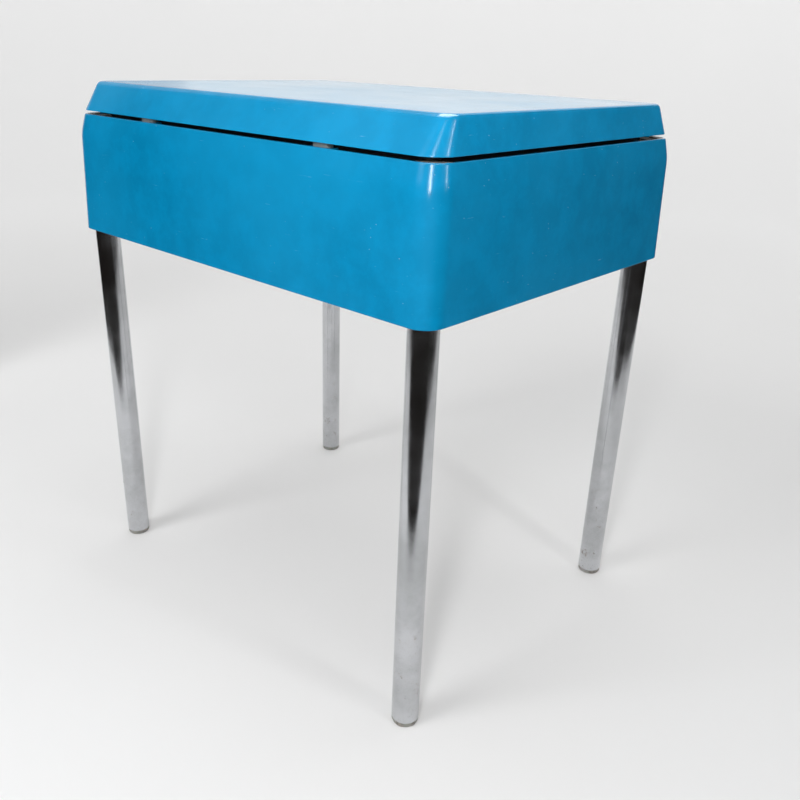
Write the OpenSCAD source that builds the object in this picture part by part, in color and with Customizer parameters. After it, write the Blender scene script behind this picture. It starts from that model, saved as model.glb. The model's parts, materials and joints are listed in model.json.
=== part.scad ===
// Lidded storage side table: a moulded tray body on four tubular legs,
// with a moulded lid hinged along its rear long side.
// X runs along the long side, the front faces -Y, and the floor is z = 0.

/* [Table] */
// Overall height from the floor to the top of the lid
table_h = 528; // [500:0.5:560]
// Leg spacing along the long side, between axes
leg_span_x = 448.6; // [420:0.2:480]
// Leg spacing along the short side, between axes
leg_span_y = 331.6; // [310:0.2:370]
// Shadow gap between the body's rim and the lid's edge
gap_h = 3.5; // [3.3:0.1:4.2]

/* [Body shell] */
// Height of the body shell
body_h = 115.6; // [110:0.1:130]
// Overhang of the shell's bottom edge beyond the leg axes
base_over = 19.2; // [19:0.1:22]
// Overhang of the belly line at the ends
belly_over_x = 17.8; // [17:0.1:19]
// Overhang of the belly line at the long sides
belly_over_y = 15.9; // [15.5:0.1:18]
// Depth of the belly line below the rim
belly_drop = 18.3; // [15:0.1:24]
// Overhang of the rim at the ends
rim_over_x = 14.5; // [14:0.1:16]
// Overhang of the rim at the long sides
rim_over_y = 11; // [10.9:0.1:12]
// Wall thickness of the body and lid mouldings
wall = 3; // [2.6:0.1:3.4]
// Radius of the vertical corners
corner_r = 19; // [18:0.5:21]

/* [Lid] */
// Height of the lid
lid_h = 28; // [26:0.1:34]
// Overhang of the lid's edge at the ends
lid_over_x = 13.8; // [13:0.1:14.5]
// Overhang of the lid's edge at the long sides
lid_over_y = 10.9; // [10.4:0.1:10.9]
// Inward slope of the lid's end faces, from edge to top
lid_slope_x = 4.4; // [2:0.1:7]
// Inward slope of the lid's long faces, from edge to top
lid_slope_y = 17.4; // [14:0.2:19]
// Radius of the soft edge between the sides and the top
lid_edge_r = 2.3; // [2:0.1:4]

/* [Legs] */
// Outer diameter of the leg tube
tube_d = 25; // [24:0.5:25.4]
// Wall of the leg tube
tube_wall = 1.5; // [1:0.1:2]
// Length of tube inside the body's leg socket
leg_insert = 36; // [30:1:40]
// Visible height of the foot plug under the tube
foot_h = 5; // [3:0.5:8]

/* [Floor] */
// Thickness of the floor panel
floor_t = 4; // [3:0.5:5]
// Recess of the floor panel above the shell's bottom edge
floor_recess = 2.6; // [2:0.1:5]

/* [Inner tray] */
// Inset of the tray's wall from the rim's outer face
tray_inset = 19.5; // [18:0.5:22]
// Wall thickness of the tray
tray_wall = 2; // [1.5:0.1:2.5]
// Distance from the top of the tray up to the lid's edge
tray_clear = 0.8; // [0.5:0.1:2]

/* [Hinges] */
// Distance between the two hinges' centres
hinge_span = 300; // [240:5:340]
// Length of each hinge
hinge_l = 50; // [46:1:70]
// Outer diameter of the hinge barrel
barrel_d = 3.9; // [3.6:0.1:3.9]
// Diameter of the hinge pin
pin_d = 1.9; // [1.6:0.1:2]
// Thickness of the hinge leaves
leaf_t = 0.9; // [0.8:0.05:0.9]

/* [Buffers] */
// Distance between the two front buffers
buffer_span = 238; // [180:2:300]
// Length of each buffer along the rim
buffer_l = 19; // [12:1:22]

/* [Hidden] */

$fn = 48;
eps = 0.01;
fit = 0.05;          // gap between pieces that are pushed or glued together
corner_steps = 8;    // facets in each rounded corner of a lofted moulding

// Leg axes
leg_x = leg_span_x / 2;
leg_y = leg_span_y / 2;

// Levels
lid_z = table_h - lid_h;
rim_z = lid_z - gap_h;
base_z = rim_z - body_h;
belly_z = rim_z - belly_drop;
floor_z = base_z + floor_recess;
floor_top_z = floor_z + floor_t;
leg_top_z = floor_top_z + leg_insert;
axis_z = (rim_z + lid_z) / 2;

// Overhangs as [ends, long sides]
base = [base_over, base_over];
belly = [belly_over_x, belly_over_y];
rim = [rim_over_x, rim_over_y];
lid_edge = [lid_over_x, lid_over_y];
lid_top = [lid_over_x - lid_slope_x, lid_over_y - lid_slope_y];

// Corner radii follow the outline as it tapers
belly_r = corner_r + 1;
rim_r = corner_r - 1;
lid_r = corner_r + 1;
lid_top_r = corner_r - 8.5;

// Leg sockets
socket_wall = 4.5;                       // beside the tube, on the inner sides
socket_r = tube_d / 2 + socket_wall;
socket_top_z = rim_z - 1.5;
land_top_z = rim_z - 0.2;                // low land across each corner, just under the rim
socket_core_d = tube_d - 11;             // hollow above the tube
socket_roof = 3;

// Inner tray: its corners are notched round the sockets below the rim
tray_r = tray_inset - 6;
tray_z = floor_top_z + fit;
tray_top_z = lid_z - tray_clear;
tray_web_z = socket_top_z + 0.5;
notch_gap = 0.5;

// Pan-head screws: head, shank
lock_screw_z = floor_top_z + 18;
lock_screw_d = 3.5;
lock_screw_l = 11;
floor_screw_d = 3;
floor_screw_l = 11;
floor_boss_d = 10;
floor_boss_h = 12;
floor_boss_over = 12.5;                  // boss axes lie this far outside the leg axes
floor_screw_spots = [
    for (sx = [-1, 1], sy = [-1, 1]) [sx * leg_x * 0.4, sy * (leg_y + floor_boss_over)],
    for (sx = [-1, 1]) [sx * (leg_x + floor_boss_over), 0]
];
hinge_screw_d = 2.8;
hinge_screw_l = 7;

// Hinges: the axis lies inside the shadow gap, a little inside the rim
axis_inset = 0.4;
barrel_relief = 0.4;                     // grooves in the rim and the lid's edge round the barrel
axis_y = leg_y + rim_over_y - axis_inset;
pad_y = leg_y + 2.8;                     // inner face of the body's hinge pads
pad_w = hinge_l + 4;
pad_drop = 17;                           // depth of the body's hinge pad below the rim
lid_pad_h = 10;
lid_pad_y = pad_y - 8;                   // inner face of the lid's hinge pads
leaf_reach = 15.5;                       // height of the body leaf's screwed plate
lid_leaf_y = lid_pad_y + 0.5;            // inner edge of the flat lid leaf
lid_screw_y = lid_pad_y + 3.4;
knuckle_l = 14;                          // each of the two body knuckles
knuckle_gap = 0.3;
pin_play = 0.05;
hinge_screw_x = 15;                      // either side of the hinge's centre
hinge_screw_drop = 9;                    // from the rim down to the body leaf's screws

// Buffers
buffer_w = 9;
buffer_y = -(leg_y + rim_over_y - wall - 0.6 - buffer_w / 2);
buffer_stem_d = 5;
buffer_stem_l = 7;
seat_w = buffer_l + 4;
seat_h = 10;
seat_y = buffer_y + buffer_w / 2 + 0.5;

// ---------- Lofted mouldings ----------

// Overhang `over` drawn in by t all round
function inset(over, t) = [over.x - t, over.y - t];

// One level of a moulding: rounded rectangle `over` beyond the leg axes
function level(over, r, z) = [
    for (c = [[1, -1, -90], [1, 1, 0], [-1, 1, 90], [-1, -1, 180]])
        for (i = [0:corner_steps])
            let (a = c[2] + 90 * i / corner_steps)
                [c[0] * (leg_x + over.x - r) + r * cos(a),
                 c[1] * (leg_y + over.y - r) + r * sin(a),
                 z]
];

// Joins levels into one solid; a looped stack closes on itself, an open one is capped
module loft(levels, looped = false) {
    n = len(levels[0]);
    m = len(levels);
    points = [for (l = levels) each l];
    bands = looped ? m : m - 1;
    sides = [
        for (j = [0:bands - 1], i = [0:n - 1])
            let (a = j * n + i,
                 b = j * n + (i + 1) % n,
                 c = ((j + 1) % m) * n + (i + 1) % n,
                 d = ((j + 1) % m) * n + i)
                each [[a, c, b], [a, d, c]]
    ];
    caps = looped ? [] : [
        [for (i = [0:n - 1]) i],
        [for (i = [n - 1:-1:0]) (m - 1) * n + i]
    ];
    polyhedron(points = points, faces = concat(sides, caps), convexity = 6);
}

// Body walls drawn in by t, as a stack of levels from the bottom edge up
function body_levels(t) = [
    level(inset(base, t), corner_r - t, base_z),
    level(inset(belly, t), belly_r - t, belly_z),
    level(inset(rim, t), rim_r - t, rim_z)
];

// Two mirrored copies, one on each side of x = 0
module both_x(span) {
    for (side = [-1, 1]) translate([side * span / 2, 0, 0]) children();
}

// Rounded rectangle, flat, `over` beyond the leg axes
module outline(over, r) {
    x = leg_x + over.x;
    y = leg_y + over.y;
    square([2 * (x - r), 2 * y], center = true);
    square([2 * x, 2 * (y - r)], center = true);
    for (sx = [-1, 1], sy = [-1, 1]) translate([sx * (x - r), sy * (y - r)]) circle(r = r);
}

// ---------- Mouldings ----------

// Pads on the rear wall, from y0 back past the wall, which trims them
module hinge_pads(y0, z, h) {
    both_x(hinge_span) translate([-pad_w / 2, y0, z]) cube([pad_w, 2 * base_over, h]);
}

// Blocks on the front wall, above and below the buffers
module buffer_seats(z) {
    both_x(buffer_span)
        translate([-seat_w / 2, seat_y - 2 * base_over, z]) cube([seat_w, 2 * base_over, seat_h]);
}

// Grooves that clear the hinge barrels
module barrel_grooves() {
    both_x(hinge_span) translate([-hinge_l / 2 - 1, axis_y, axis_z])
        rotate([0, 90, 0]) cylinder(d = barrel_d + 2 * barrel_relief, h = hinge_l + 2);
}

module body_shell() {
    color([0.03, 0.53, 0.75]) difference() {
        union() {
            loft(concat(body_levels(0), [for (i = [2:-1:0]) body_levels(wall)[i]]), looped = true);
            intersection() {
                loft(body_levels(wall / 2));
                union() {
                    hinge_pads(pad_y, rim_z - pad_drop, pad_drop);
                    buffer_seats(rim_z - seat_h);
                }
            }
            for (spot = floor_screw_spots)
                translate([spot.x, spot.y, floor_top_z])
                    cylinder(d = floor_boss_d, h = floor_boss_h);
        }
        barrel_grooves();
        hinge_screw_spots() translate([0, pad_y - eps, rim_z - hinge_screw_drop])
            rotate([-90, 0, 0]) cylinder(d = hinge_screw_d, h = hinge_screw_l);
        both_x(buffer_span)
            translate([0, buffer_y, rim_z - buffer_stem_l - 1])
                cylinder(d = buffer_stem_d, h = buffer_stem_l + 2);
        for (spot = floor_screw_spots)
            translate([spot.x, spot.y, floor_top_z - eps])
                cylinder(d = floor_screw_d, h = floor_screw_l - floor_t + 1);
    }
}

module lid_shell() {
    side_z = table_h - lid_edge_r;
    color([0.05, 0.57, 0.8]) difference() {
        union() {
            loft([
                level(inset(lid_top, wall + 1), lid_top_r - wall, table_h - wall),
                level(inset(lid_edge, wall), lid_r - wall, lid_z),
                level(lid_edge, lid_r, lid_z),
                level(lid_top, lid_top_r, side_z),
                level(inset(lid_top, 0.5 * lid_edge_r), lid_top_r, side_z + 0.6 * lid_edge_r),
                level(inset(lid_top, 1.2 * lid_edge_r), lid_top_r, side_z + 0.92 * lid_edge_r),
                level(inset(lid_top, 2.4 * lid_edge_r), lid_top_r, table_h)
            ]);
            intersection() {
                loft([
                    level(inset(lid_edge, wall / 2), lid_r - wall / 2, lid_z),
                    level(inset(lid_top, wall / 2), lid_top_r - wall / 2, side_z)
                ]);
                union() {
                    hinge_pads(lid_pad_y, lid_z, lid_pad_h);
                    buffer_seats(lid_z);
                }
            }
        }
        barrel_grooves();
        hinge_screw_spots() translate([0, lid_screw_y, lid_z - eps])
            cylinder(d = hinge_screw_d, h = hinge_screw_l);
    }
}

// Outline of the tray between the sockets, shrunk by t
module tray_outline(t) {
    notch = socket_r + notch_gap;
    tray = inset(rim, tray_inset + t);
    square([2 * (leg_x + tray.x), 2 * (leg_y - notch - t)], center = true);
    square([2 * (leg_x - notch - t), 2 * (leg_y + tray.y)], center = true);
}

module inner_tray() {
    color([0.07, 0.07, 0.075]) difference() {
        union() {
            translate([0, 0, tray_z]) linear_extrude(tray_web_z + tray_wall - tray_z) tray_outline(0);
            translate([0, 0, tray_web_z]) linear_extrude(tray_top_z - tray_web_z)
                outline(inset(rim, tray_inset), tray_r);
        }
        translate([0, 0, tray_z + tray_wall]) linear_extrude(body_h) tray_outline(tray_wall);
        translate([0, 0, tray_web_z + tray_wall]) linear_extrude(body_h)
            outline(inset(rim, tray_inset + tray_wall), tray_r - tray_wall);
    }
}

module floor_panel() {
    color([0.16, 0.15, 0.14]) difference() {
        translate([0, 0, floor_z]) linear_extrude(floor_t)
            outline(inset(base, wall + 0.6), corner_r - wall);
        for (sx = [-1, 1], sy = [-1, 1])
            translate([sx * leg_x, sy * leg_y, floor_z - 1]) cylinder(d = tube_d + 1, h = floor_t + 2);
        for (spot = floor_screw_spots)
            translate([spot.x, spot.y, floor_z - 1]) cylinder(d = floor_screw_d + 0.4, h = floor_t + 2);
    }
}

// ---------- Legs ----------

// Puts a leg part at the corner sx, sy, turned so that its own +X points to the table's centre
module at_leg(sx, sy) {
    translate([sx * leg_x, sy * leg_y, 0]) rotate([0, 0, atan2(-sy, -sx)]) children();
}

module leg(sx, sy) {
    color([0.78, 0.79, 0.8]) at_leg(sx, sy) difference() {
        translate([0, 0, foot_h]) cylinder(d = tube_d, h = leg_top_z - foot_h);
        translate([0, 0, foot_h - 1]) cylinder(d = tube_d - 2 * tube_wall, h = leg_top_z);
        translate([0, 0, lock_screw_z]) rotate([0, 90, 0]) cylinder(d = lock_screw_d, h = tube_d);
    }
}

module foot(sx, sy) {
    stem_d = tube_d - 2 * tube_wall - 2 * fit;
    color([0.82, 0.8, 0.74, 0.8]) at_leg(sx, sy) {
        cylinder(d1 = tube_d - 2, d2 = tube_d - 0.4, h = 1);
        translate([0, 0, 1]) cylinder(d = tube_d - 0.4, h = foot_h - 1);
        translate([0, 0, foot_h]) cylinder(d = stem_d, h = 14);
        translate([0, 0, foot_h + 14]) cylinder(d1 = stem_d, d2 = stem_d - 4, h = 3);
    }
}

// Corner post that fills the body's corner and takes the leg from below
module socket(sx, sy) {
    color([0.42, 0.38, 0.34]) difference() {
        union() {
            intersection() {
                loft(body_levels(wall + fit));
                translate([sx * leg_x, sy * leg_y, floor_top_z + fit])
                    linear_extrude(socket_top_z - floor_top_z) union() {
                        circle(r = socket_r);
                        translate([sx > 0 ? 0 : -2 * socket_r, -socket_r]) square(2 * socket_r);
                        translate([-socket_r, sy > 0 ? 0 : -2 * socket_r]) square(2 * socket_r);
                    }
            }
            translate([0, 0, socket_top_z - socket_roof / 2])
                linear_extrude(land_top_z - socket_top_z + socket_roof / 2) intersection() {
                    outline(inset(rim, wall + 0.4), rim_r - wall);
                    at_leg(sx, sy) translate([-2 * socket_r, -socket_r]) square(2 * socket_r);
                }
        }
        translate([sx * leg_x, sy * leg_y, floor_z]) {
            cylinder(d = tube_d + 2 * fit, h = leg_top_z - floor_z + fit);
            cylinder(d = socket_core_d, h = socket_top_z - socket_roof - floor_z);
        }
        at_leg(sx, sy) translate([0, 0, lock_screw_z]) rotate([0, 90, 0])
            cylinder(d = lock_screw_d + 0.4, h = 2 * socket_r);
    }
}

// ---------- Fasteners ----------

// Pan-head screw: the head's underside is at z = 0 and the shank goes down from it
module pan_screw(d, l) {
    head_d = 1.9 * d;
    head_h = 0.62 * d;
    difference() {
        union() {
            cylinder(d = head_d, h = 0.6 * head_h);
            translate([0, 0, 0.6 * head_h]) cylinder(d1 = head_d, d2 = 0.72 * head_d, h = 0.4 * head_h);
            translate([0, 0, -l + d]) cylinder(d = d - 2 * eps, h = l - d);
            translate([0, 0, -l]) cylinder(d1 = 0.2 * d, d2 = d - 2 * eps, h = d);
        }
        translate([-head_d, -0.1 * d, head_h - 0.35 * d]) cube([2 * head_d, 0.2 * d, d]);
    }
}

module leg_lock_screws() {
    color("silver") for (sx = [-1, 1], sy = [-1, 1])
        at_leg(sx, sy) translate([socket_r + fit, 0, lock_screw_z])
            rotate([0, 90, 0]) pan_screw(lock_screw_d, lock_screw_l);
}

module floor_screws() {
    color("silver") for (spot = floor_screw_spots)
        translate([spot.x, spot.y, floor_z - fit])
            rotate([180, 0, 0]) pan_screw(floor_screw_d, floor_screw_l - 0.5);
}

// ---------- Buffers ----------

module buffer() {
    end_x = (buffer_l - buffer_w) / 2;
    height = gap_h - fit;
    color([0.42, 0.45, 0.44]) translate([0, buffer_y, rim_z]) {
        linear_extrude(height) union() {
            for (side = [-1, 1]) translate([side * end_x, 0]) circle(d = buffer_w);
            square([2 * end_x, buffer_w], center = true);
        }
        translate([0, 0, -buffer_stem_l]) cylinder(d = buffer_stem_d - 2 * eps, h = buffer_stem_l + eps);
    }
}

// ---------- Hinges ----------

// Screw positions along both hinges
module hinge_screw_spots() {
    both_x(hinge_span) for (side = [-1, 1]) translate([side * hinge_screw_x, 0, 0]) children();
}

// Strip of a leaf in the gap, with a knuckle at its end; up = 1 is under the lid, -1 on the rim
module knuckle_strip(up, x0, x1, y0) {
    outer = up * (gap_h / 2 - fit);
    translate([x0, axis_y, axis_z]) rotate([0, 90, 0]) cylinder(d = barrel_d, h = x1 - x0);
    translate([x0, y0, axis_z + min(outer, outer - up * leaf_t)]) cube([x1 - x0, axis_y - y0, leaf_t]);
}

module pin_bore(d) {
    translate([-hinge_l, axis_y, axis_z]) rotate([0, 90, 0]) cylinder(d = d, h = 2 * hinge_l);
}

// Cranked leaf: over the rim and down the pad's inner face
module body_leaf() {
    end = hinge_l / 2;
    leaf_y = pad_y - leaf_t;
    top_z = rim_z + fit + leaf_t;
    color([0.75, 0.7, 0.5]) difference() {
        union() {
            for (side = [-1, 1])
                knuckle_strip(-1, min(side * end, side * (end - knuckle_l)),
                    max(side * end, side * (end - knuckle_l)), leaf_y);
            translate([-end, leaf_y, top_z - leaf_t]) cube([hinge_l, leaf_t + 2, leaf_t]);
            translate([-end, leaf_y, top_z - leaf_reach]) cube([hinge_l, leaf_t - fit / 2, leaf_reach]);
        }
        pin_bore(pin_d + 2 * eps);
        for (side = [-1, 1])
            translate([side * hinge_screw_x, pad_y + 1, rim_z - hinge_screw_drop])
                rotate([90, 0, 0]) cylinder(d = hinge_screw_d + 0.3, h = 4);
    }
}

// Flat leaf under the lid's hinge pad
module lid_leaf() {
    end = hinge_l / 2;
    inner = end - knuckle_l - knuckle_gap;
    plate_w = axis_y - barrel_d / 2 - 0.6 - lid_leaf_y;
    color([0.75, 0.7, 0.5]) difference() {
        union() {
            knuckle_strip(1, -inner, inner, lid_leaf_y);
            translate([-end, lid_leaf_y, lid_z - fit - leaf_t]) cube([hinge_l, plate_w, leaf_t]);
        }
        pin_bore(pin_d + 2 * pin_play);
        for (side = [-1, 1])
            translate([side * hinge_screw_x, lid_screw_y, lid_z - 3])
                cylinder(d = hinge_screw_d + 0.3, h = 4);
    }
}

module hinge_pin() {
    color("silver") translate([-hinge_l / 2 - 0.3, axis_y, axis_z])
        rotate([0, 90, 0]) cylinder(d = pin_d, h = hinge_l + 0.6);
}

module hinge_body_screws() {
    color("silver") hinge_screw_spots()
        translate([0, pad_y - leaf_t - fit, rim_z - hinge_screw_drop])
            rotate([90, 0, 0]) pan_screw(hinge_screw_d, hinge_screw_l);
}

module hinge_lid_screws() {
    color("silver") hinge_screw_spots()
        translate([0, lid_screw_y, lid_z - leaf_t - 2 * fit])
            rotate([180, 0, 0]) pan_screw(hinge_screw_d, hinge_screw_l);
}

module at_side(side, span) {
    translate([side * span / 2, 0, 0]) children();
}

body_shell();
lid_shell();
inner_tray();
floor_panel();
leg(-1, -1);  // leg_front_left
leg(1, -1);  // leg_front_right
leg(-1, 1);  // leg_rear_left
leg(1, 1);  // leg_rear_right
foot(-1, -1);  // foot_front_left
foot(1, -1);  // foot_front_right
foot(-1, 1);  // foot_rear_left
foot(1, 1);  // foot_rear_right
socket(-1, -1);  // socket_front_left
socket(1, -1);  // socket_front_right
socket(-1, 1);  // socket_rear_left
socket(1, 1);  // socket_rear_right
leg_lock_screws();
floor_screws();
at_side(-1, buffer_span) buffer();  // buffer_left
at_side(1, buffer_span) buffer();  // buffer_right
at_side(-1, hinge_span) body_leaf();  // hinge_left_body_leaf
at_side(-1, hinge_span) lid_leaf();  // hinge_left_lid_leaf
at_side(-1, hinge_span) hinge_pin();  // hinge_left_pin
at_side(1, hinge_span) body_leaf();  // hinge_right_body_leaf
at_side(1, hinge_span) lid_leaf();  // hinge_right_lid_leaf
at_side(1, hinge_span) hinge_pin();  // hinge_right_pin
hinge_body_screws();
hinge_lid_screws();
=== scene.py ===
"""Looks of the lidded storage side table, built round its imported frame. Metres, +Z up, front towards -Y."""

import json
import math

import bpy
import bmesh
import numpy as np
from mathutils import Matrix, Vector


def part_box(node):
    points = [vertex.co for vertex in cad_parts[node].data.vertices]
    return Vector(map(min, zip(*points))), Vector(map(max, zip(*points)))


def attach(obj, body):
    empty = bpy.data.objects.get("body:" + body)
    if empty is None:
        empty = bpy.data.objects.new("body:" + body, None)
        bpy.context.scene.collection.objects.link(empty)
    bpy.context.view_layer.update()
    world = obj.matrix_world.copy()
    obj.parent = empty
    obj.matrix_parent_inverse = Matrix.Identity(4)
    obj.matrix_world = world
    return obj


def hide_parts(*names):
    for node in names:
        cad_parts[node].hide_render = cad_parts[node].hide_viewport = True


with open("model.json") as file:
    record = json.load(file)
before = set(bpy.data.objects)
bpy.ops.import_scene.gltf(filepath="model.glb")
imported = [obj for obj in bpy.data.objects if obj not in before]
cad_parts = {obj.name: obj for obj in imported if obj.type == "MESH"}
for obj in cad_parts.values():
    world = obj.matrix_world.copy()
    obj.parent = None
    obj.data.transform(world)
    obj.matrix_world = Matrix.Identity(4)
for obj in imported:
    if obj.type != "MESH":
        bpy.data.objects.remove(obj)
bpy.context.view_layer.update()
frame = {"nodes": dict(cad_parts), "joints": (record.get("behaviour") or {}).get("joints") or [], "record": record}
MM = 0.001

# ---------- Places taken from the frame ----------


def centre(node):
    low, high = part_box(node)
    return (low + high) / 2


leg_centre = centre("leg_front_right")
LEG_X, LEG_Y = abs(leg_centre.x), abs(leg_centre.y)
BASE_Z, RIM_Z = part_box("body_shell")[0].z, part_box("body_shell")[1].z
LID_Z, TOP_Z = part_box("lid_shell")[0].z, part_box("lid_shell")[1].z
LEG_LOW, LEG_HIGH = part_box("leg_front_right")
HINGE = frame["joints"][0]["pos_m"]
CORNERS = ("front_left", "front_right", "rear_left", "rear_right")

# ---------- Mouldings: overhangs beyond the leg axes [ends, long sides], corner radius ----------

WALL = 3 * MM
BELLY_DROP = 18.3 * MM
SIDE_DROP = 0.7 * MM          # from the lid's crown down to where its sides would meet the top
CORNER_STEPS = 14
MOST_ROUNDED = 0.6            # largest share of a section's side that one rounding takes
SUPPORT = 0.04                # share of a side between a rounding and its support level
CAP_SHRINK = np.array([20, 20, 0]) * MM    # from the lid's inner top edge to its cap
CROWN_SHRINK = np.array([60, 60, 0]) * MM  # from the lid's crown to its cap
SEAM = 0.05 * MM              # pads and seats end this far short of the moulding's edge

BASE_EDGE = np.array([19.2, 19.2, 19]) * MM
BELLY = np.array([17.8, 15.9, 20]) * MM
RIM = np.array([14.5, 11, 18]) * MM
LID_EDGE = np.array([13.8, 10.9, 20]) * MM
LID_SHOULDER = np.array([9.1, -7.6, 10.5]) * MM
LID_CROWN = np.array([-8, -25, 10.5]) * MM
LID_INNER = np.array([5.4, -10.5, 7.5]) * MM


def key(outline, z, soft, inset=0.0):
    """One corner of a moulding's section, with the length over which it is rounded."""
    return np.append(outline - inset, z), soft


def rounded(keys, closed, steps=5):
    """The section's levels, each corner replaced by a short curve and flanked by support levels."""
    levels = []
    count = len(keys)
    for i, (point, soft) in enumerate(keys):
        if not closed and i in (0, count - 1):
            levels.append(point)
            continue
        before, after = keys[(i - 1) % count][0], keys[(i + 1) % count][0]
        span_in, span_out = np.linalg.norm(before - point), np.linalg.norm(after - point)
        start = point + (before - point) * min(MOST_ROUNDED, soft / span_in)
        end = point + (after - point) * min(MOST_ROUNDED, soft / span_out)
        levels.append(start + (before - point) * min(SUPPORT, 0.25 * soft / span_in))
        for k in range(steps + 1):
            t = k / steps
            levels.append((1 - t) ** 2 * start + 2 * t * (1 - t) * point + t * t * end)
        levels.append(end + (after - point) * min(SUPPORT, 0.25 * soft / span_out))
    return levels


def ring(level):
    """Rounded rectangle at one level, counter-clockwise seen from above."""
    over_x, over_y, radius, z = level
    points = []
    for sx, sy, start in ((1, -1, -90), (1, 1, 0), (-1, 1, 90), (-1, -1, 180)):
        for i in range(CORNER_STEPS + 1):
            a = math.radians(start + 90 * i / CORNER_STEPS)
            points.append((
                sx * (LEG_X + over_x - radius) + radius * math.cos(a),
                sy * (LEG_Y + over_y - radius) + radius * math.sin(a),
                z,
            ))
    return points


def mesh_object(name, vertices, faces):
    mesh = bpy.data.meshes.new(name)
    mesh.from_pydata(vertices, [], faces)
    mesh.validate()
    bm = bmesh.new()
    bm.from_mesh(mesh)
    bmesh.ops.recalc_face_normals(bm, faces=bm.faces)
    bm.to_mesh(mesh)
    bm.free()
    obj = bpy.data.objects.new(name, mesh)
    bpy.context.scene.collection.objects.link(obj)
    return obj


def loft(name, levels, closed):
    """Joins the levels' rings; a closed section forms a tube round the table, an open one gets two caps."""
    rings = [ring(level) for level in levels]
    n, m = len(rings[0]), len(rings)
    vertices = [p for r in rings for p in r]
    faces = [
        (j * n + i, j * n + (i + 1) % n, (j + 1) % m * n + (i + 1) % n, (j + 1) % m * n + i)
        for j in range(m if closed else m - 1) for i in range(n)
    ]
    if not closed:
        faces.append(tuple(range(n - 1, -1, -1)))
        faces.append(tuple(range((m - 1) * n, m * n)))
    return mesh_object(name, vertices, faces)


def block(name, x, half_width, outline):
    """A prism along X whose section is the (y, z) outline."""
    n = len(outline)
    vertices = [(x + s * half_width, y, z) for s in (-1, 1) for y, z in outline]
    faces = [tuple(range(n)), tuple(range(2 * n - 1, n - 1, -1))]
    faces += [(i, n + i, n + (i + 1) % n, (i + 1) % n) for i in range(n)]
    return mesh_object(name, vertices, faces)


def cylinder(name, start, direction, radius, length, steps=48):
    turn = Vector(direction).to_track_quat("Z", "Y").to_matrix()
    vertices = [
        Vector(start) + turn @ Vector((
            radius * math.cos(math.tau * i / steps), radius * math.sin(math.tau * i / steps), z))
        for z in (0, length) for i in range(steps)
    ]
    faces = [tuple(range(steps - 1, -1, -1)), tuple(range(steps, 2 * steps))]
    faces += [(i, (i + 1) % steps, steps + (i + 1) % steps, steps + i) for i in range(steps)]
    return mesh_object(name, vertices, faces)


def combine(target, operation, tools):
    """Joins the tools to the target, or cuts them out of it, and removes them."""
    for tool in tools:
        modifier = target.modifiers.new("combine", "BOOLEAN")
        modifier.operation = operation
        modifier.solver = "EXACT"
        modifier.object = tool
        bpy.context.view_layer.update()
        evaluated = target.evaluated_get(bpy.context.evaluated_depsgraph_get())
        mesh = bpy.data.meshes.new_from_object(evaluated)
        target.modifiers.clear()
        target.data = mesh
        bpy.data.objects.remove(tool)


def shade(obj, angle=32):
    obj.data.polygons.foreach_set("use_smooth", [True] * len(obj.data.polygons))
    obj.data.set_sharp_from_angle(angle=math.radians(angle))
    modifier = obj.modifiers.new("normals", "WEIGHTED_NORMAL")
    modifier.keep_sharp = True


def finish_piece(obj, body, node, slot_name):
    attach(obj, body)
    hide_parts(node)
    obj.data.materials.clear()
    obj.data.materials.append(MATERIALS[slot_name])


# ---------- Materials ----------


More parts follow.
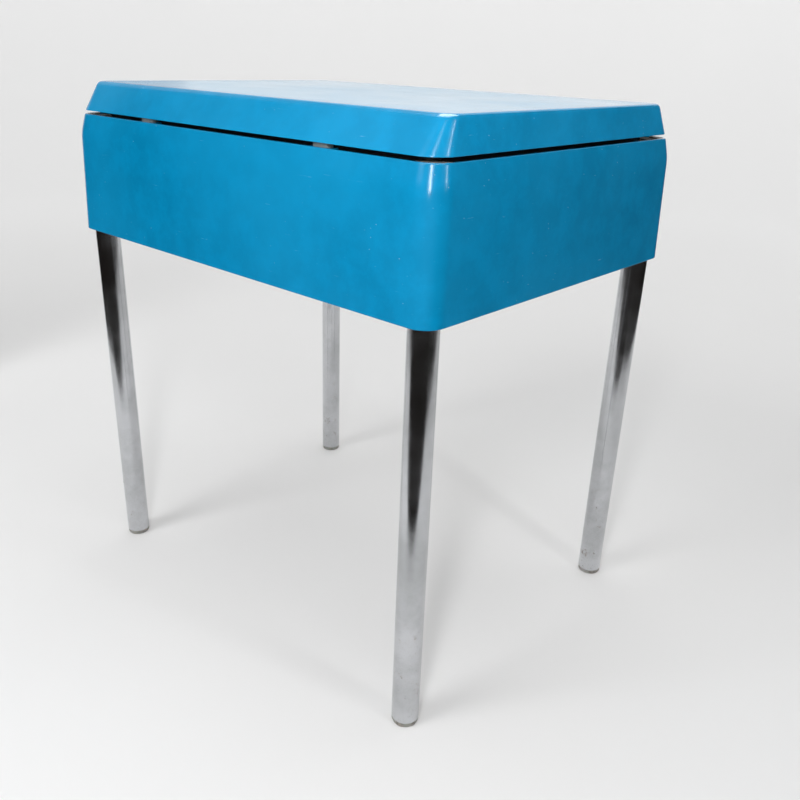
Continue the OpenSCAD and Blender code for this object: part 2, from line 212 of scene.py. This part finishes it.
class Nodes:
    """Short names for the nodes that the materials share."""

    def __init__(self, name):
        self.material = bpy.data.materials.new(name)
        self.material.use_nodes = True
        self.tree = self.material.node_tree
        self.shader = self.tree.nodes["Principled BSDF"]
        geometry = self.tree.nodes.new("ShaderNodeTexCoord")
        self.position = geometry.outputs["Object"]

    def link(self, a, b):
        self.tree.links.new(a, b)

    def set(self, **values):
        for name, value in values.items():
            self.shader.inputs[name.replace("_", " ")].default_value = value

    def stretched(self, scale, turn=(0, 0, 0)):
        node = self.tree.nodes.new("ShaderNodeMapping")
        node.inputs["Scale"].default_value = scale
        node.inputs["Rotation"].default_value = turn
        self.link(self.position, node.inputs["Vector"])
        return node.outputs["Vector"]

    def noise(self, scale, vector=None, detail=3.0, rough=0.55):
        node = self.tree.nodes.new("ShaderNodeTexNoise")
        node.inputs["Scale"].default_value = scale
        node.inputs["Detail"].default_value = detail
        node.inputs["Roughness"].default_value = rough
        self.link(vector or self.position, node.inputs["Vector"])
        return node.outputs["Fac"]

    def spots(self, scale):
        node = self.tree.nodes.new("ShaderNodeTexVoronoi")
        node.inputs["Scale"].default_value = scale
        self.link(self.position, node.inputs["Vector"])
        return node.outputs["Distance"]

    def span(self, value, low, high, out_low=0.0, out_high=1.0):
        node = self.tree.nodes.new("ShaderNodeMapRange")
        for name, number in zip(("From Min", "From Max", "To Min", "To Max"), (low, high, out_low, out_high)):
            node.inputs[name].default_value = number
        self.link(value, node.inputs["Value"])
        return node.outputs["Result"]

    def math(self, operation, a, b):
        node = self.tree.nodes.new("ShaderNodeMath")
        node.operation = operation
        for value, socket in ((a, node.inputs[0]), (b, node.inputs[1])):
            if isinstance(value, (int, float)):
                socket.default_value = value
            else:
                self.link(value, socket)
        return node.outputs[0]

    def mix(self, factor, a, b):
        node = self.tree.nodes.new("ShaderNodeMix")
        node.data_type = "RGBA"
        self.link(factor, node.inputs["Factor"])
        for value, socket in ((a, node.inputs[6]), (b, node.inputs[7])):
            if isinstance(value, tuple):
                socket.default_value = (*value, 1)
            else:
                self.link(value, socket)
        return node.outputs[2]

    def colour(self, value):
        self.link(value, self.shader.inputs["Base Color"])

    def roughness(self, value):
        self.link(value, self.shader.inputs["Roughness"])

    def bump(self, height, distance, strength=1.0):
        node = self.tree.nodes.new("ShaderNodeBump")
        node.inputs["Distance"].default_value = distance
        node.inputs["Strength"].default_value = strength
        self.link(height, node.inputs["Height"])
        self.link(node.outputs["Normal"], self.shader.inputs["Normal"])

    def height(self):
        node = self.tree.nodes.new("ShaderNodeSeparateXYZ")
        self.link(self.position, node.inputs["Vector"])
        return node.outputs["Z"]


def gloss_blue(name, base, pale):
    """Glossy moulded plastic: mottled and cloudy, with long fine scratches and a few pale specks."""
    n = Nodes(name)
    n.set(IOR=1.5, Specular_IOR_Level=0.4)
    cloud = n.noise(7, detail=4)
    along = n.noise(60, n.stretched((0.35, 3, 9), (0.1, 0.3, 0.2)), detail=5, rough=0.7)
    across = n.noise(75, n.stretched((4, 0.5, 7), (0.5, -0.2, 0.9)), detail=5, rough=0.7)
    scratches = n.math("MAXIMUM", n.span(along, 0.68, 0.74), n.span(across, 0.69, 0.75))
    speckled = n.span(n.noise(22), 0.52, 0.6)
    specks = n.math("MULTIPLY", n.span(n.spots(150), 0.06, 0.04), speckled)
    dull = tuple(0.84 * c for c in base)
    mottled = n.mix(n.span(n.noise(38, detail=6, rough=0.65), 0.42, 0.62), dull, base)
    tone = n.mix(n.span(cloud, 0.35, 0.7, 0, 0.7), mottled, pale)
    marked = n.mix(n.math("MULTIPLY", scratches, 0.22), tone, (0.30, 0.55, 0.70))
    n.colour(n.mix(n.math("MULTIPLY", specks, 0.45), marked, (0.55, 0.72, 0.80)))
    worn = n.math("ADD", n.span(cloud, 0.3, 0.75, 0.15, 0.25), n.math("MULTIPLY", scratches, 0.2))
    n.roughness(worn)
    wave = n.noise(9, detail=1)
    n.bump(n.math("ADD", wave, n.math("MULTIPLY", scratches, -0.02)), 0.0006, 0.5)
    return n.material


def chrome():
    """Bright chrome with fine pitting and a little rust low on the tube."""
    n = Nodes("chrome_tube")
    n.set(Metallic=1.0)
    grime = n.noise(95, detail=6, rough=0.7)
    low = n.span(n.height(), 0.14, 0.02)
    sparse = n.span(n.noise(55, detail=4), 0.62, 0.42)
    share = n.math("MULTIPLY", sparse, n.span(low, 0.0, 1.0, 0.35, 1.0))
    pits = n.math("MULTIPLY", n.span(n.spots(560), 0.24, 0.10), share)
    rust = n.math("MULTIPLY", n.span(grime, 0.6, 0.7), low)
    worn = n.span(n.noise(16, detail=6, rough=0.7), 0.42, 0.68)
    plate = n.mix(worn, (0.60, 0.61, 0.63), (0.45, 0.46, 0.47))
    clean = n.mix(n.math("MULTIPLY", pits, 0.7), plate, (0.20, 0.17, 0.15))
    n.colour(n.mix(n.math("MULTIPLY", rust, 0.7), clean, (0.20, 0.09, 0.04)))
    film = n.math("ADD", n.span(n.noise(30, detail=4), 0.3, 0.7, 0.13, 0.24), n.math("MULTIPLY", rust, 0.5))
    n.roughness(n.math("ADD", film, n.math("MULTIPLY", pits, 0.15)))
    n.bump(n.math("SUBTRACT", grime, pits), 0.00006, 0.4)
    return n.material


def plain_plastic(name, base, second, rough, grain):
    """Satin or matt moulding with a fine grain and uneven colour."""
    n = Nodes(name)
    n.colour(n.mix(n.span(n.noise(40, detail=5), 0.3, 0.7), base, second))
    n.roughness(n.span(n.noise(90), 0.3, 0.7, rough - 0.07, rough + 0.07))
    n.bump(n.noise(grain, detail=4), 0.00008, 0.6)
    return n.material


def foot_plastic():
    """Translucent plug, yellowed and scuffed near the floor."""
    n = Nodes("foot_plastic")
    n.set(Transmission_Weight=0.35, IOR=1.46, Subsurface_Weight=0.2, Subsurface_Scale=0.004)
    scuffs = n.span(n.noise(260, detail=5), 0.5, 0.68)
    n.colour(n.mix(n.math("MULTIPLY", scuffs, 0.75), (0.40, 0.39, 0.36), (0.13, 0.12, 0.10)))
    n.roughness(n.span(n.noise(120), 0.3, 0.7, 0.35, 0.6))
    n.bump(n.noise(300, detail=4), 0.0002, 0.6)
    return n.material


def plated(name, base, rough):
    """Plated steel: fine drawn lines and dull patches."""
    n = Nodes(name)
    n.set(Metallic=1.0)
    lines = n.noise(320, n.stretched((0.2, 3, 3)), detail=3)
    dull = tuple(0.6 * c for c in base)
    n.colour(n.mix(n.span(n.noise(120, detail=5), 0.45, 0.7), base, dull))
    n.roughness(n.span(lines, 0.3, 0.7, rough - 0.08, rough + 0.08))
    n.bump(lines, 0.00004, 0.5)
    return n.material


BLUE = (0.0004, 0.205, 0.41)
LID_BLUE = (0.002, 0.225, 0.45)
MATERIALS = {
    "blue_body": gloss_blue("blue_body", BLUE, (0.004, 0.24, 0.46)),
    "blue_lid": gloss_blue("blue_lid", LID_BLUE, (0.007, 0.27, 0.51)),
    "tray_plastic": plain_plastic("tray_plastic", (0.012, 0.012, 0.013), (0.02, 0.02, 0.022), 0.42, 900),
    "floor_board": plain_plastic("floor_board", (0.035, 0.033, 0.03), (0.06, 0.055, 0.05), 0.75, 500),
    "chrome_tube": chrome(),
    "foot_plastic": foot_plastic(),
    # socket_plastic is much lighter than the sockets' own tan-grey: painted light that stands in for the light the
    # lid's shadow keeps off the corner lands
    "socket_plastic": plain_plastic("socket_plastic", (0.38, 0.33, 0.27), (0.47, 0.41, 0.34), 0.6, 700),
    "zinc_steel": plated("zinc_steel", (0.62, 0.63, 0.64), 0.35),
    "hinge_steel": plated("hinge_steel", (0.55, 0.50, 0.38), 0.42),
    "buffer_rubber": plain_plastic("buffer_rubber", (0.13, 0.15, 0.145), (0.19, 0.21, 0.20), 0.7, 1100),
}

# ---------- Mouldings ----------


def wall_y(low, high, z, z_low, z_high):
    """Overhang of a long side's outer face at height z, between two outlines."""
    return low[1] + (high[1] - low[1]) * (z - z_low) / (z_high - z_low)


def hinge_centres():
    return [centre(f"hinge_{side}_pin").x for side in ("left", "right")]


def buffer_centres():
    return [centre(f"buffer_{side}").x for side in ("left", "right")]


PAD_HALF = (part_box("hinge_left_body_leaf")[1].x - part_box("hinge_left_body_leaf")[0].x) / 2 + 2 * MM
SEAT_HALF = (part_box("buffer_left")[1].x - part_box("buffer_left")[0].x) / 2 + 2 * MM
SEAT_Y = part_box("buffer_left")[1].y + 0.5 * MM
SEAT_H = 10 * MM
PAD_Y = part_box("hinge_left_body_leaf")[0].y + 0.9 * MM
PAD_DROP = 17 * MM
LID_PAD_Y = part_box("hinge_left_lid_leaf")[0].y - 0.5 * MM
LID_PAD_H = 10 * MM
BARREL_GROOVE = 2.35 * MM
BELLY_Z = RIM_Z - BELLY_DROP
SHOULDER_Z = TOP_Z - SIDE_DROP


def barrel_grooves(name):
    return [
        cylinder(f"{name}_{i}", (x - PAD_HALF + 1 * MM, HINGE[1], HINGE[2]), (1, 0, 0), BARREL_GROOVE,
                 2 * PAD_HALF - 2 * MM)
        for i, x in enumerate(hinge_centres())
    ]


def body_shell():
    obj = loft("body_moulding", rounded([
        key(BASE_EDGE, BASE_Z, 0.9 * MM),
        key(BELLY, BELLY_Z, 7 * MM),
        key(RIM, RIM_Z, 1.75 * MM),
        key(RIM, RIM_Z, 0.8 * MM, WALL),
        key(BELLY, BELLY_Z, 5 * MM, WALL),
        key(BASE_EDGE, BASE_Z, 0.7 * MM, WALL),
    ], closed=True), closed=True)
    half_wall = WALL / 2

    def mid(z):
        return LEG_Y + wall_y(BELLY, RIM, z, BELLY_Z, RIM_Z) - half_wall

    pads = [
        block(f"pad_{i}", x, PAD_HALF, [
            (PAD_Y, RIM_Z - SEAM), (PAD_Y, RIM_Z - PAD_DROP),
            (mid(RIM_Z - PAD_DROP), RIM_Z - PAD_DROP), (mid(RIM_Z), RIM_Z - SEAM)])
        for i, x in enumerate(hinge_centres())
    ]
    seats = [
        block(f"seat_{i}", x, SEAT_HALF, [
            (SEAT_Y, RIM_Z - SEAM), (SEAT_Y, RIM_Z - SEAT_H),
            (-mid(RIM_Z - SEAT_H), RIM_Z - SEAT_H), (-mid(RIM_Z), RIM_Z - SEAM)])
        for i, x in enumerate(buffer_centres())
    ]
    combine(obj, "UNION", pads + seats)
    combine(obj, "DIFFERENCE", barrel_grooves("rim_groove"))
    shade(obj)
    finish_piece(obj, "table", "body_shell", "blue_body")


def lid_shell():
    obj = loft("lid_moulding", rounded([
        key(LID_INNER - CAP_SHRINK, TOP_Z - WALL, 0),
        key(LID_INNER, TOP_Z - WALL, 2 * MM),
        key(LID_EDGE, LID_Z, 0.8 * MM, WALL),
        key(LID_EDGE, LID_Z, 1.1 * MM),
        key(LID_SHOULDER, SHOULDER_Z, 4.5 * MM),
        key(LID_CROWN, TOP_Z, 8 * MM),
        key(LID_CROWN - CROWN_SHRINK, TOP_Z, 0),
    ], closed=False), closed=False)
    half_wall = WALL / 2

    def mid(z):
        return LEG_Y + wall_y(LID_EDGE, LID_SHOULDER, z, LID_Z, SHOULDER_Z) - half_wall

    pads = [
        block(f"lid_pad_{i}", x, PAD_HALF, [
            (LID_PAD_Y, LID_Z + SEAM), (LID_PAD_Y, LID_Z + LID_PAD_H),
            (mid(LID_Z + LID_PAD_H), LID_Z + LID_PAD_H), (mid(LID_Z), LID_Z + SEAM)])
        for i, x in enumerate(hinge_centres())
    ]
    seats = [
        block(f"lid_seat_{i}", x, SEAT_HALF, [
            (SEAT_Y, LID_Z + SEAM), (SEAT_Y, LID_Z + SEAT_H),
            (-mid(LID_Z + SEAT_H), LID_Z + SEAT_H), (-mid(LID_Z), LID_Z + SEAM)])
        for i, x in enumerate(buffer_centres())
    ]
    combine(obj, "UNION", pads + seats)
    combine(obj, "DIFFERENCE", barrel_grooves("lid_groove"))
    shade(obj)
    finish_piece(obj, "lid", "lid_shell", "blue_lid")


# ---------- Legs and feet ----------


RAGGED_RISE = 3.2 * MM        # how far up from its foot a ragged piece is uneven


def lathe(name, profile, at, steps=96, ragged=0.0, seed=0.0):
    """Turns an (r, z) profile round the vertical through at; ragged makes its rim uneven."""
    vertices, faces = [], []
    count = len(profile)
    lowest = min(z for _, z in profile)
    for i in range(steps):
        a = math.tau * i / steps
        for r, z in profile:
            wobble = 0.0
            if ragged and lowest < z < lowest + RAGGED_RISE:
                wobble = ragged * (math.sin(5 * a + seed) + 0.6 * math.sin(11 * a + 2 * seed))
            vertices.append((at[0] + (r + wobble) * math.cos(a), at[1] + (r + wobble) * math.sin(a), z))
    for i in range(steps):
        for k in range(count):
            a, b = i * count, (i + 1) % steps * count
            faces.append((a + k, b + k, b + (k + 1) % count, a + (k + 1) % count))
    return mesh_object(name, vertices, faces)


def legs():
    radius = (LEG_HIGH.x - LEG_LOW.x) / 2
    inner = radius - 1.5 * MM
    lip = 0.35 * MM
    for corner in CORNERS:
        at = centre(f"leg_{corner}")
        obj = lathe(f"tube_{corner}", [
            (inner, LEG_LOW.z + lip), (inner + lip, LEG_LOW.z), (radius - lip, LEG_LOW.z),
            (radius - 0.3 * lip, LEG_LOW.z + 0.3 * lip), (radius, LEG_LOW.z + lip),
            (radius, LEG_HIGH.z - lip), (radius - lip, LEG_HIGH.z), (inner, LEG_HIGH.z),
        ], (at.x, at.y))
        shade(obj)
        finish_piece(obj, "table", f"leg_{corner}", "chrome_tube")


def feet():
    low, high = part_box("foot_front_right")
    radius = (high.x - low.x) / 2
    rest = LEG_LOW.z
    stem = radius - 1.35 * MM
    hole = 0.35 * radius
    for number, corner in enumerate(CORNERS):
        at = centre(f"foot_{corner}")
        worn = 0.16 * MM if corner == "front_right" else 0.05 * MM
        obj = lathe(f"plug_{corner}", [
            (hole, low.z), (radius - 1.5 * MM, low.z), (radius - 0.7 * MM, low.z + 0.4 * MM),
            (radius - 0.35 * MM, low.z + 1.2 * MM), (radius - 0.3 * MM, low.z + 2.6 * MM),
            (radius - 0.2 * MM, rest - 0.4 * MM), (radius - 0.6 * MM, rest - 0.03 * MM),
            (stem, rest), (stem, high.z - 3 * MM), (stem - 2 * MM, high.z), (hole, high.z),
        ], (at.x, at.y), ragged=worn, seed=1.7 * number)
        shade(obj, 40)
        finish_piece(obj, "table", f"foot_{corner}", "foot_plastic")


# ---------- Parts kept from the frame ----------


def smooth_group():
    """Joins split vertices and smooths all but the sharp edges, for the nodes kept from the frame."""
    group = bpy.data.node_groups.new("soften", "GeometryNodeTree")
    group.interface.new_socket("Geometry", in_out="INPUT", socket_type="NodeSocketGeometry")
    group.interface.new_socket("Geometry", in_out="OUTPUT", socket_type="NodeSocketGeometry")
    make = group.nodes.new
    start, end = make("NodeGroupInput"), make("NodeGroupOutput")
    merge = make("GeometryNodeMergeByDistance")
    merge.inputs["Distance"].default_value = 0.01 * MM
    faces, edges = make("GeometryNodeSetShadeSmooth"), make("GeometryNodeSetShadeSmooth")
    edges.domain = "EDGE"
    edges.inputs["Shade Smooth"].default_value = False
    angle, sharp = make("GeometryNodeInputMeshEdgeAngle"), make("FunctionNodeCompare")
    sharp.operation = "GREATER_THAN"
    sharp.inputs[1].default_value = math.radians(32)
    for a, b in (
        (start.outputs[0], merge.inputs["Geometry"]), (merge.outputs[0], faces.inputs["Geometry"]),
        (faces.outputs[0], edges.inputs["Geometry"]), (angle.outputs[0], sharp.inputs[0]),
        (sharp.outputs[0], edges.inputs["Selection"]), (edges.outputs[0], end.inputs[0]),
    ):
        group.links.new(a, b)
    return group


def kept_nodes():
    soften = smooth_group()
    slots = {part["node"]: part["material_slot"] for part in frame["record"]["subparts"]}
    for name, obj in frame["nodes"].items():
        if obj.hide_render:
            continue
        for i in range(max(1, len(obj.material_slots))):
            if not obj.material_slots:
                obj.data.materials.append(None)
            obj.material_slots[i].link = "OBJECT"
            obj.material_slots[i].material = MATERIALS[slots[name]]
        obj.modifiers.new("soften", "NODES").node_group = soften
        bevel = obj.modifiers.new("edges", "BEVEL")
        bevel.width = 0.12 * MM if name.endswith(("screws", "pin", "leaf")) else 0.4 * MM
        bevel.segments = 2
        bevel.limit_method = "ANGLE"
        bevel.angle_limit = math.radians(40)


# ---------- Room, lights and camera ----------


def room():
    """A pale floor that sweeps up into a round wall, glowing as painted light: dimmer near the table, brighter
    further out.
    """
    flat, sweep, top, steps = 2.6, 0.8, 3.2, 96
    profile = [(0.0, 0.0), (flat, 0.0)]
    for k in range(1, 13):
        a = math.radians(90 * k / 12)
        profile.append((flat + sweep * math.sin(a), sweep * (1 - math.cos(a))))
    profile.append((flat + sweep, top))
    vertices = [(0, 0, 0)]
    for r, z in profile[1:]:
        for i in range(steps):
            a = math.tau * i / steps
            vertices.append((r * math.cos(a), r * math.sin(a), z))
    faces = [(0, 1 + i, 1 + (i + 1) % steps) for i in range(steps)]
    for j in range(len(profile) - 2):
        for i in range(steps):
            a, b = 1 + j * steps, 1 + (j + 1) * steps
            faces.append((a + i, a + (i + 1) % steps, b + (i + 1) % steps, b + i))
    obj = mesh_object("floor_and_wall", vertices, faces)
    obj.data.polygons.foreach_set("use_smooth", [True] * len(obj.data.polygons))
    n = Nodes("studio_floor")
    n.colour(n.mix(n.noise(1.5), (0.80, 0.80, 0.80), (0.83, 0.83, 0.83)))
    n.set(Roughness=0.9, Emission_Color=(1, 1, 1, 1))
    distance = n.tree.nodes.new("ShaderNodeVectorMath")
    distance.operation = "LENGTH"
    n.link(n.position, distance.inputs[0])
    # Painted light: the glow grows with distance from the table, which darkens the ground near it and brightens
    # the far wall
    painted_room_glow = n.span(distance.outputs["Value"], 0.4, 2.4, 0.08, 0.25)
    n.link(painted_room_glow, n.shader.inputs["Emission Strength"])
    obj.data.materials.append(n.material)


def reflected_only(obj, strength, colour):
    """Makes obj an emitter that only reflections see."""
    material = bpy.data.materials.new(obj.name)
    material.use_nodes = True
    material.node_tree.nodes.clear()
    light = material.node_tree.nodes.new("ShaderNodeEmission")
    light.inputs["Color"].default_value = (*colour, 1)
    light.inputs["Strength"].default_value = strength
    out = material.node_tree.nodes.new("ShaderNodeOutputMaterial")
    material.node_tree.links.new(light.outputs[0], out.inputs["Surface"])
    obj.data.materials.append(material)
    obj.visible_camera = obj.visible_diffuse = obj.visible_shadow = False
    obj.visible_transmission = obj.visible_volume_scatter = False


def card(name, position, size, aim, strength, colour):
    w, h = size[0] / 2, size[1] / 2
    obj = mesh_object(name, [(-w, -h, 0), (w, -h, 0), (w, h, 0), (-w, h, 0)], [(0, 1, 2, 3)])
    turn = (Vector(aim) - Vector(position)).to_track_quat("-Z", "Y").to_matrix().to_4x4()
    obj.matrix_world = Matrix.Translation(position) @ turn
    reflected_only(obj, strength, colour)


def dark_side():
    """The unlit room: it begins at the pale floor's straight front edge and curves round the sides."""
    facing, near, far, first, last, steps = 25, 0.545, 0.90, -75, 165, 80
    hem_start, hem_slope = 53, 0.17 / 110    # the lower edge lifts off the floor towards the ends
    rise = ((0.0, None), (0.0, 0.50), (0.40, 0.58), (0.75, 1.80))    # (outwards, height; None is the hem)
    vertices = []
    for i in range(steps + 1):
        azimuth = first + (last - first) * i / steps
        off = abs(azimuth - facing)
        slant = math.cos(math.radians(off))
        radius = min(near / slant, far) if slant > 0.1 else far
        hem = hem_slope * max(0.0, off - hem_start)
        for out, z in rise:
            x, y, _ = around(azimuth, 0, radius + out)
            vertices.append((x, y, hem if z is None else z))
    rows = len(rise)
    faces = [
        (i * rows + k, (i + 1) * rows + k, (i + 1) * rows + k + 1, i * rows + k + 1)
        for i in range(steps) for k in range(rows - 1)
    ]
    reflected_only(mesh_object("dark_side", vertices, faces), 1.0, (0.012, 0.010, 0.009))


def flag(name, x, y_low, y_high, low, top):
    """A dark panel beside the table that keeps stray light off one side; reflections do not see it."""
    corners = [(x, y_low, low), (x, y_high, low), (x, y_high, top), (x, y_low, top)]
    obj = mesh_object(name, corners, [(0, 1, 2, 3)])
    n = Nodes(name)
    n.set(Base_Color=(0.02, 0.02, 0.02, 1), Roughness=0.9)
    obj.data.materials.append(n.material)
    obj.visible_camera = obj.visible_glossy = False


def area_light(name, position, aim, size, power):
    """A rectangular lamp; its power is in watts."""
    data = bpy.data.lights.new(name, "AREA")
    data.shape = "RECTANGLE"
    data.size, data.size_y = size
    data.energy = power
    obj = bpy.data.objects.new(name, data)
    turn = (Vector(aim) - Vector(position)).to_track_quat("-Z", "Y").to_matrix().to_4x4()
    obj.matrix_world = Matrix.Translation(position) @ turn
    bpy.context.scene.collection.objects.link(obj)


def around(azimuth, elevation, distance, height=0.0):
    """A point seen from the table in that direction; azimuth 0 is the front, positive to the right."""
    a, e = math.radians(azimuth), math.radians(elevation)
    return (
        distance * math.sin(a) * math.cos(e),
        -distance * math.cos(a) * math.cos(e),
        height + distance * math.sin(e),
    )


def lights():
    target = (0, 0, 0.35)
    area_light("key", around(-12, 42, 2.1), target, (0.7, 0.8), 12)
    area_light("fill", around(85, 36, 2.0), target, (0.22, 0.7), 4.2)
    area_light("top", (0, 0.2, 2.4), target, (1.6, 1.6), 12)
    area_light("lamp", (0.545, -0.71, 0.86), (0.2, -0.15, 0.86), (0.10, 0.60), 5.0)
    area_light("side_lamp", (0.924, -0.048, 0.80), (0.2, -0.15, 0.80), (0.045, 0.40), 1.0)
    middle = (0, 0, TOP_Z)
    card("back_card", around(207, 24, 1.9, TOP_Z), (2.6, 1.5), middle, 1.25, (1.0, 0.985, 0.94))
    card("overhead_card", (-0.2, 0.25, 2.0), (1.4, 1.4), (-0.2, 0.25, 0), 12, (1, 0.985, 0.94))
    dark_side()
    flag("right_flag", 1.0, -0.5, 0.9, 0.0, 0.75)
    flag("left_flag", -0.85, -1.4, -0.2, 0.15, 0.9)
    world = bpy.data.worlds.new("studio")
    world.use_nodes = True
    world.node_tree.nodes["Background"].inputs["Color"].default_value = (1, 1, 1, 1)
    world.node_tree.nodes["Background"].inputs["Strength"].default_value = 0.2
    bpy.context.scene.world = world


# Camera: its direction from the table, its place and its view
CAMERA_AZIMUTH, CAMERA_ELEVATION, CAMERA_ROLL = 41.73, 22.90, 1.97
CAMERA_PLACE = (0.5894, -0.6064, 0.5653)
CAMERA_LENS = 36.5
CAMERA_SHIFT = (0.0083, -0.0084)


def camera():
    a, e, r = (math.radians(v) for v in (CAMERA_AZIMUTH, CAMERA_ELEVATION, CAMERA_ROLL))
    back = Vector((math.sin(a) * math.cos(e), -math.cos(a) * math.cos(e), math.sin(e)))
    right = (-back).cross(Vector((0, 0, 1))).normalized()
    up = right.cross(-back)
    rolled_right = math.cos(r) * right + math.sin(r) * up
    rolled_up = -math.sin(r) * right + math.cos(r) * up
    data = bpy.data.cameras.new("camera")
    data.sensor_width = 36
    data.lens = CAMERA_LENS
    data.shift_x, data.shift_y = CAMERA_SHIFT
    data.clip_start = 0.02
    obj = bpy.data.objects.new("camera", data)
    rotation = Matrix((rolled_right, rolled_up, back)).transposed().to_4x4()
    obj.matrix_world = Matrix.Translation(CAMERA_PLACE) @ rotation
    bpy.context.scene.collection.objects.link(obj)
    bpy.context.scene.camera = obj


camera()
body_shell()
lid_shell()
legs()
feet()
kept_nodes()
room()
lights()
bpy.context.scene.view_settings.view_transform = "Standard"
